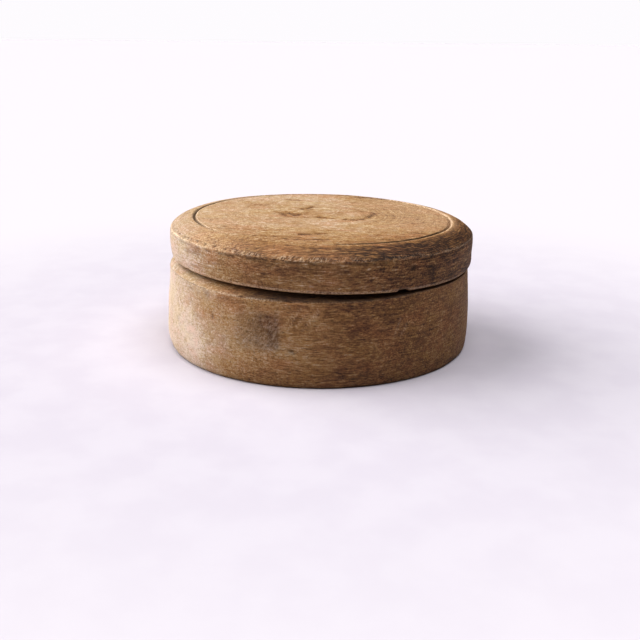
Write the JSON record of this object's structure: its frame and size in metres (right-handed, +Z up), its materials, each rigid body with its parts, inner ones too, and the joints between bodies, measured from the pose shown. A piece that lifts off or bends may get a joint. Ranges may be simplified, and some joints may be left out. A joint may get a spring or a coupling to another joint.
{
  "type": "cheese mould",
  "caption": "Round turned wooden cheese mould: a thick-walled vat with whey drains in its floor, and a loose overhanging lid with a boss that presses into the mouth.",
  "frame": {"origin": "centre of the vat's foot, on the surface that it stands on", "axes": "+Z up along the turning axis; the lid's grain runs along X, and -Y is the front"},
  "size_m": [0.261, 0.261, 0.1072],
  "materials": {
    "body_wood": "dry, hand-worn, unvarnished",
    "lid_wood": "dry, hand-worn, unvarnished, rough torn edge"
  },
  "bodies": {
    "mould_body": {"mould_body": "body_wood"},
    "lid": {"lid": "lid_wood"}
  },
  "joints": [
    {"name": "lid_lift", "type": "slide", "parent": "mould_body", "child": "lid", "axis": [0, 0, 1], "range_m": [0, 0.11]}
  ]
}
